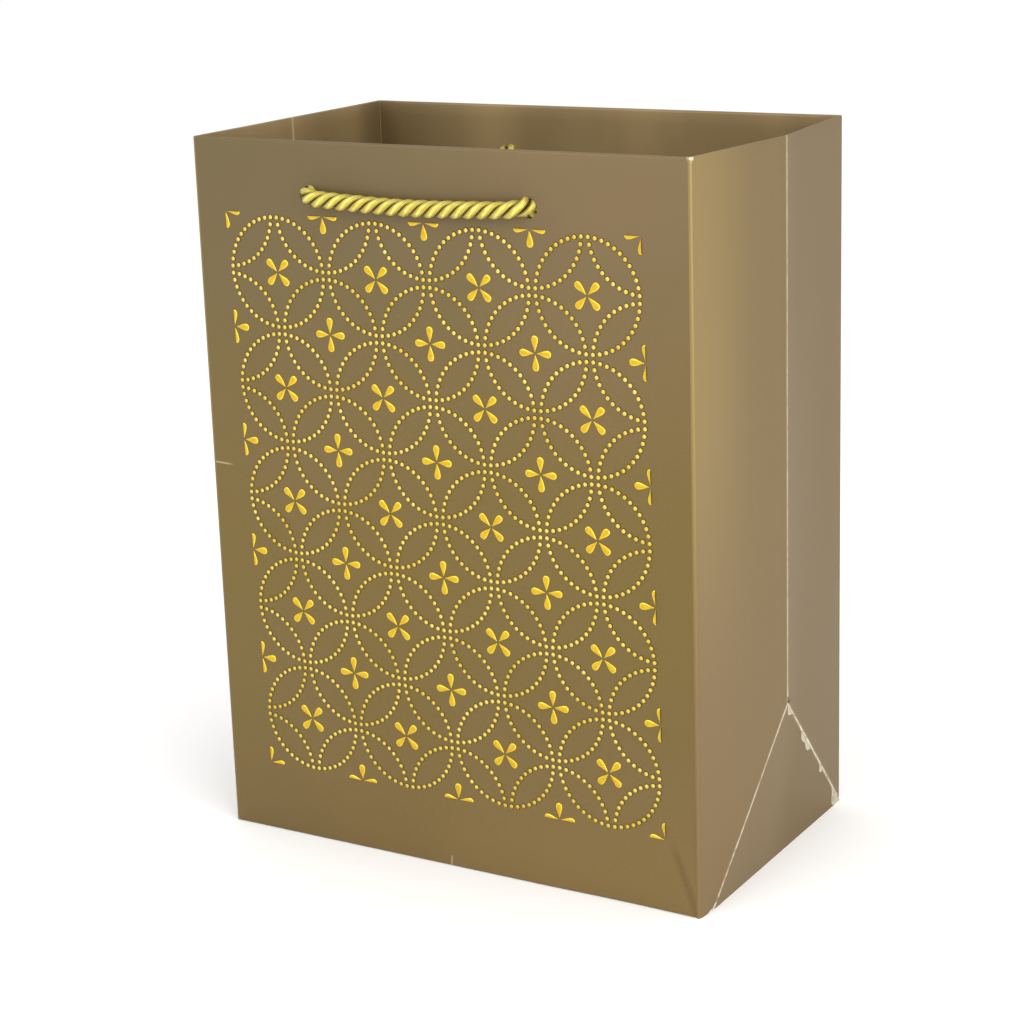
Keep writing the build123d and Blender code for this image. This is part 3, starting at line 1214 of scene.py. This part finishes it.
# %% Punched holes
def punch_holes(piece, face):
    """Cuts the two cord holes through every layer of a wall."""
    drill = bmesh.new()
    lying = Matrix.Rotation(math.pi / 2, 4, "X")
    for x in HOLE_X:
        bmesh.ops.create_cone(
            drill,
            cap_ends=True,
            segments=40,
            radius1=HOLE_D / 2,
            radius2=HOLE_D / 2,
            depth=12 * MM,
            matrix=Matrix.Translation((-face * x, face * BACK_Y, HOLE_Z)) @ lying,
        )
    mesh = bpy.data.meshes.new("punch")
    drill.to_mesh(mesh)
    drill.free()
    punch = bpy.data.objects.new("punch", mesh)
    bpy.context.scene.collection.objects.link(punch)
    cut = piece.modifiers.new("holes", "BOOLEAN")
    cut.operation = "DIFFERENCE"
    cut.solver = "EXACT"
    cut.object = punch
    bpy.context.view_layer.update()
    depsgraph = bpy.context.evaluated_depsgraph_get()
    done = bpy.data.meshes.new_from_object(piece.evaluated_get(depsgraph))
    piece.modifiers.remove(cut)
    before = len(piece.data.polygons)
    piece.data = done
    bpy.data.objects.remove(punch)
    piece.data.set_sharp_from_angle(angle=SHARP)
    print(f"{piece.name}: {before} faces before the punch, {len(done.polygons)} after")


punch_holes(front_paper, -1)
punch_holes(back_paper, 1)
sheets = [
    front_paper, back_paper, back_strip, right_front, right_rear, right_corner,
    left_front, left_rear, left_corner, right_foot, left_foot, seam,
]
for sheet in sheets:
    mark_folds(sheet)

# %% [markdown]
# ## The foil print
#
# The print is two grids of beaded rings, one shifted by half a ring, so that each ring
# shares its beads with its neighbours where they touch. A four-petalled flower sits in
# every ring, turned by 45 degrees in one grid and upright in the other, and the frame
# of the print cuts the outer flowers in half. That is a rule, so Geometry Nodes makes it:
# grids of rings, doubled beads merged, everything outside the frame deleted, and a bead
# or a flower set on each point that is left. The foil stands a little proud of the paper.

# %% Gold foil
def foil_surface(tree):
    place = tree.place()
    rim = tree.read("rim")
    cloud = tree.noise(place, 55.0, 2.0)
    rub = tree.noise(place, 2400.0, 3.0, 0.7)
    gold = tree.blend(cloud.ramp(0.3, 0.7), colour(208, 180, 66), colour(228, 204, 100))
    # Painted shade: each bead is painted dark brown round its rim.
    painted_rim_shading = tree.blend(rim.ramp(0.56, 0.88), gold, colour(78, 56, 14))
    return {
        "Base Color": tree.blend(rub.ramp(0.7, 0.82), painted_rim_shading, colour(150, 124, 70)),
        "Metallic": 0.75,
        "Roughness": 0.28 + 0.2 * rub,
        "Normal": tree.bump(0.2, 0.06 * MM, rub),
    }


def petal_surface(tree):
    place = tree.place()
    rim = tree.read("rim")
    rub = tree.noise(place, 1500.0, 3.0, 0.7)
    middle = tree.blend(rub.ramp(0.3, 0.7), colour(200, 158, 20), colour(220, 182, 40))
    # Painted light on each petal: its raised edge is painted lighter than its middle, as a
    # painted highlight, and its outermost rim dark brown, as painted shadow.
    painted_rim_shading = tree.blend(rim.ramp(0.5, 0.8), middle, colour(237, 210, 68))
    return {
        "Base Color": tree.blend(rim.ramp(0.86, 1.0), painted_rim_shading, colour(104, 76, 18)),
        "Metallic": 0.7,
        "Roughness": 0.26 + 0.2 * rub,
        "Normal": tree.bump(0.2, 0.06 * MM, rub),
    }


bead_foil = finish_material("gold foil beads", foil_surface)
petal_foil = finish_material("gold foil petals", petal_surface)

# %% One bead
BEADS = 48
RING_R = 18.0 * MM
STEP = math.pi / BEADS
PITCH = 2 * RING_R * (math.cos(STEP) + math.sin(STEP))
COLUMNS, ROWS = 4, 5


def bead_mesh(radius, height, sides=8):
    """A low dome with its rim marked 1 and its top 0."""
    vertices, rim, faces = [], [], []
    for share, lift in ((1.0, -0.12), (0.82, 0.5), (0.48, 0.88)):
        for k in range(sides):
            angle = 2 * math.pi * k / sides
            reach = radius * share
            vertices.append((reach * math.cos(angle), reach * math.sin(angle), height * lift))
            rim.append(share)
    vertices.append((0, 0, height))
    rim.append(0.0)
    vertices.append((0, 0, -0.15 * height))
    rim.append(1.0)
    for ring in range(2):
        for k in range(sides):
            a, b = ring * sides + k, ring * sides + (k + 1) % sides
            faces.append((a, b, b + sides, a + sides))
    for k in range(sides):
        faces.append((2 * sides + k, 2 * sides + (k + 1) % sides, 3 * sides))
        faces.append(((k + 1) % sides, k, 3 * sides + 1))
    return vertices, faces, rim


# %% One petal
def petal_mesh(inner, length, width, height, along=8):
    """A raised drop along +X, pointed at the flower's middle, split along its axis."""
    across = (-1.0, -0.86, -0.5, 0.0, 0.5, 0.86, 1.0)
    vertices, rim, faces = [], [], []
    for i in range(along + 1):
        share = (1 - math.cos(math.pi * i / along)) / 2
        wide = width / 2 * share * max(1 - share ** 4, 0.0) ** 0.5 / 0.62
        wide = max(wide, 0.02 * MM)
        for q in across:
            edge = max(abs(q), abs(2 * share - 1) ** 3)
            vertices.append((inner + length * share, wide * q, height * (1 - edge ** 2.5) ** 0.5))
            rim.append(edge)
    count = len(across)
    for i in range(along):
        for j in range(count - 1):
            a = i * count + j
            faces.append((a, a + count, a + count + 1, a + 1))
    return vertices, faces, rim


def stamp(name, made):
    vertices, faces, rim = made
    piece = link_mesh(name, vertices, faces, [])
    layer = piece.data.attributes.new("rim", "FLOAT", "POINT")
    layer.data.foreach_set("value", rim)
    return piece


bead = stamp("one bead", bead_mesh(0.97 * MM, 0.36 * MM))
petal = stamp("one petal", petal_mesh(0.45 * MM, 5.2 * MM, 2.55 * MM, 0.3 * MM))
print(f"pitch {PITCH / MM:.2f} mm")
print("faces of a bead and a petal:", len(bead.data.polygons), len(petal.data.polygons))


# %% The tree of the print
def tree_inputs(name, sockets):
    """A Geometry Nodes tree with these named inputs and one geometry output."""
    data = bpy.data.node_groups.new(name, "GeometryNodeTree")
    names = {}
    for label, kind in sockets:
        made = data.interface.new_socket(name=label, in_out="INPUT", socket_type=kind)
        names[label] = made.identifier
    data.interface.new_socket(name="Geometry", in_out="OUTPUT", socket_type="NodeSocketGeometry")
    tree = Tree(data)
    return tree, tree.node("NodeGroupInput"), names


# %% Grids of rings, cut off at the frame of the print
def ring_grid(tree, given, columns, rows):
    """The middles of a grid of rings, centred on the origin."""
    return tree.node("GeometryNodeMeshGrid", None, {
        "Size X": (columns - 1) * given["Pitch"],
        "Size Y": (rows - 1) * given["Pitch"],
        "Vertices X": columns,
        "Vertices Y": rows,
    })["Mesh"]


def clipped(tree, given, geometry, domain):
    """The geometry without what lies outside the print's frame."""
    parts = tree.node("ShaderNodeSeparateXYZ", None, {
        0: tree.node("GeometryNodeInputPosition")["Position"],
    })
    beyond_x = parts[0].size() > given["Columns"] * given["Pitch"] / 2
    beyond_y = parts[1].size() > given["Rows"] * given["Pitch"] / 2
    return tree.node("GeometryNodeDeleteGeometry", {"domain": domain}, {
        "Geometry": geometry,
        "Selection": beyond_x.most(beyond_y),
    })["Geometry"]


# %% Beaded rings
PRINT_SOCKETS = [
    ("Columns", "NodeSocketInt"),
    ("Rows", "NodeSocketInt"),
    ("Pitch", "NodeSocketFloat"),
    ("Ring Radius", "NodeSocketFloat"),
    ("Beads", "NodeSocketInt"),
    ("Stamp", "NodeSocketObject"),
    ("Foil", "NodeSocketMaterial"),
]


def bead_tree():
    tree, given, names = tree_inputs("beaded rings", PRINT_SOCKETS)
    ring = tree.node("GeometryNodeMeshCircle", None, {
        "Vertices": given["Beads"],
        "Radius": given["Ring Radius"],
    })["Mesh"]
    half_step = tree.node("ShaderNodeCombineXYZ", None, {2: math.pi / given["Beads"]})[0]
    joined = tree.node("GeometryNodeJoinGeometry")
    for extra in (0, 1):
        rings = tree.node("GeometryNodeInstanceOnPoints", None, {
            "Points": ring_grid(tree, given, given["Columns"] + extra, given["Rows"] + extra),
            "Instance": ring,
            "Rotation": half_step,
        })["Instances"]
        made = tree.node("GeometryNodeRealizeInstances", None, {"Geometry": rings})["Geometry"]
        tree.data.links.new(made.socket, joined.node.inputs[0])
    merged = tree.node("GeometryNodeMergeByDistance", None, {
        "Geometry": joined["Geometry"],
        "Distance": given["Pitch"] * 0.01,
    })["Geometry"]
    places = clipped(tree, given, merged, "POINT")
    stamped = tree.node("GeometryNodeObjectInfo", None, {"Object": given["Stamp"]})["Geometry"]
    beads = tree.node("GeometryNodeInstanceOnPoints", None, {
        "Points": places,
        "Instance": stamped,
    })["Instances"]
    return finished_tree(tree, given, beads), names


def finished_tree(tree, given, instances):
    real = tree.node("GeometryNodeRealizeInstances", None, {"Geometry": instances})["Geometry"]
    foiled = tree.node("GeometryNodeSetMaterial", None, {
        "Geometry": real,
        "Material": given["Foil"],
    })["Geometry"]
    tree.node("NodeGroupOutput", None, {0: foiled})
    return tree.data


# %% Flowers
def petal_tree():
    tree, given, names = tree_inputs("flowers", PRINT_SOCKETS)
    stamped = tree.node("GeometryNodeObjectInfo", None, {"Object": given["Stamp"]})["Geometry"]
    joined = tree.node("GeometryNodeJoinGeometry")
    for extra, tilt in ((0, math.pi / 4), (1, 0.0)):
        middles = ring_grid(tree, given, given["Columns"] + extra, given["Rows"] + extra)
        for quarter in range(4):
            turned = tree.node("GeometryNodeInstanceOnPoints", None, {
                "Points": middles,
                "Instance": stamped,
                "Rotation": (0.0, 0.0, tilt + quarter * math.pi / 2),
            })["Instances"]
            tree.data.links.new(turned.socket, joined.node.inputs[0])
    real = tree.node("GeometryNodeRealizeInstances", None, {"Geometry": joined["Geometry"]})
    inside = clipped(tree, given, real["Geometry"], "FACE")
    return finished_tree(tree, given, inside), names


beads_made = bead_tree()
petals_made = petal_tree()
print("trees:", len(beads_made[0].nodes), "and", len(petals_made[0].nodes), "nodes")

# %% [markdown]
# ## Laying the print on the walls
#
# The tree makes the print flat. Its plain mesh is then laid on the outer face of a wall,
# which bows, so each point is lifted by the same rule that bows the paper. The print sits
# a little askew on this bag: its columns drift to one side going down. The back wall
# folds above the base, so its print is one piece above that crease and one below.

# %% Print pieces
PRINT_Z = 120.4 * MM
PRINT_X = 0.15 * MM
PRINT_LEAN = math.tan(math.radians(1.5))


def flat_print(made, stamped, foil):
    """The print as a plain flat mesh, from its tree."""
    group, names = made
    holder = bpy.data.objects.new("print", bpy.data.meshes.new("print"))
    bpy.context.scene.collection.objects.link(holder)
    modifier = holder.modifiers.new("print", "NODES")
    modifier.node_group = group
    for label, value in (
        ("Columns", COLUMNS), ("Rows", ROWS), ("Pitch", PITCH), ("Ring Radius", RING_R),
        ("Beads", BEADS), ("Stamp", stamped), ("Foil", foil),
    ):
        modifier[names[label]] = value
    bpy.context.view_layer.update()
    depsgraph = bpy.context.evaluated_depsgraph_get()
    flat = bpy.data.meshes.new_from_object(holder.evaluated_get(depsgraph))
    bpy.data.objects.remove(holder)
    return flat


def laid_print(name, flat, foil, face, low_z, high_z):
    """The part of the flat print between two heights, laid on the front or back wall."""
    shape = bmesh.new()
    shape.from_mesh(flat)
    gone = [f for f in shape.faces if not low_z <= f.calc_center_median().y + PRINT_Z < high_z]
    bmesh.ops.delete(shape, geom=gone, context="FACES")
    for vertex in shape.verts:
        u, v, lift = vertex.co
        z = v + PRINT_Z
        x = u + PRINT_X - v * PRINT_LEAN
        share = (x + HALF_W) / (2 * HALF_W)
        bow = bow_front(share, z) if face < 0 else bow_back(share, z)
        vertex.co = (-face * x, face * (BACK_Y + float(bow) + lift), z)
    mesh = bpy.data.meshes.new(name)
    shape.to_mesh(mesh)
    shape.free()
    mesh.materials.clear()
    mesh.materials.append(foil)
    mesh.polygons.foreach_set("material_index", [0] * len(mesh.polygons))
    mesh.shade_smooth()
    piece = bpy.data.objects.new(name, mesh)
    bpy.context.scene.collection.objects.link(piece)
    print(f"{name}: {len(mesh.polygons)} faces")
    return piece


prints = []
for kind, made, stamped, foil in (
    ("beads", beads_made, bead, bead_foil),
    ("flowers", petals_made, petal, petal_foil),
):
    flat = flat_print(made, stamped, foil)
    for label, body, face, low_z, high_z in (
        ("front", "front_wall", -1, 0.0, 1.0),
        ("back", "back_wall", 1, FOLD_Z, 1.0),
        ("back_lower", "back_lower_strip", 1, 0.0, FOLD_Z),
    ):
        piece = laid_print(f"{label}_foil_{kind}", flat, foil, face, low_z, high_z)
        prints.append((piece, body))
bpy.data.objects.remove(bead)
bpy.data.objects.remove(petal)

# %% [markdown]
# ## Base and cards
#
# The four glued flaps under the bag, the card laid over them inside, and the two strips
# of card in the hems are flat boards, and the frame's own solids have their shape. They
# keep it, and only get their finish.

# %% Finishes of the flat boards
FLAPS = ("base_back_flap", "base_front_flap", "base_left_flap", "base_right_flap")
CARDS = ("base_card", "front_top_card", "back_top_card")
for names, material in ((FLAPS, bronze), (CARDS, board)):
    for name in names:
        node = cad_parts[name]
        node.data.materials.clear()
        node.data.materials.append(material)
print("boards:", len(FLAPS) + len(CARDS))

# %% [markdown]
# ## Riding the frame
#
# Most pieces follow a body of the frame: the cords and knots ride with their walls, and the
# front wall, the lower back strip, the seam, the corner and foot triangles and the foil
# print are attached to theirs. The paper of the upper back wall and of the four gusset
# halves stays where it was built.

# %% Pieces that follow their bodies
def inner_corner(line, index, deep):
    """The inner face of a panel's line at one of its columns, at a depth."""
    place, normal, _ = LINES[line][index]
    return Vector((place[0] - normal[0] * deep, place[1] - normal[1] * deep, 0.1))


DEEP = GUSSET_HEM + PAPER / 2
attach(front_paper, "front_wall")
inner_corner("right_front", 0, DEEP)
inner_corner("right_front", 8, DEEP)
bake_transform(right_front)
inner_corner("right_rear", 0, 0.0)
inner_corner("right_rear", 8, 0.0)
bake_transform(right_rear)
inner_corner("back", 0, DEEP)
inner_corner("back", 8, DEEP)
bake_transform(back_paper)
inner_corner("left_front", -9, DEEP)
inner_corner("left_front", -1, DEEP)
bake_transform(left_front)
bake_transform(left_rear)
for piece, body in (
    (right_corner, "right_corner_fold"), (left_corner, "left_corner_fold"),
    (right_foot, "right_foot_fold"), (left_foot, "left_foot_fold"),
    (seam, "back_wall"), (back_strip, "back_lower_strip"),
):
    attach(piece, body)
for piece, body in prints:
    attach(piece, body)

# %% Pieces by the creases get meshes of their own
squashed = [(back_strip, "back_wall_crease")]
squashed += [(p, "back_wall_crease") for p, body in prints if body == "back_lower_strip"]
squashed += [(right_corner, "right_corner_crease"), (left_corner, "left_corner_crease")]
for piece, joint in squashed:
    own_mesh(piece)

# %% What the paper stands for
for piece, nodes in (
    (front_paper, ("front_panel", "front_hem")),
    (back_paper, ("back_panel", "back_hem")),
    (back_strip, ("back_fold_strip",)),
    (right_front, ("right_gusset_front", "right_front_hem")),
    (right_rear, ("right_gusset_rear", "right_rear_hem")),
    (right_corner, ("right_corner_triangle",)),
    (left_front, ("left_gusset_front", "left_front_hem")),
    (left_rear, ("left_gusset_rear", "left_rear_hem")),
    (left_corner, ("left_corner_triangle",)),
    (right_foot, ("right_foot_triangle",)),
    (left_foot, ("left_foot_triangle",)),
    (seam, ("side_seam_flap",)),
):
    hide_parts(*nodes)

# %% Sizes, for comparing the visual model with the frame
low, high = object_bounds()
print("visual box in mm:", [round(v / MM, 1) for v in (*low, *high)])
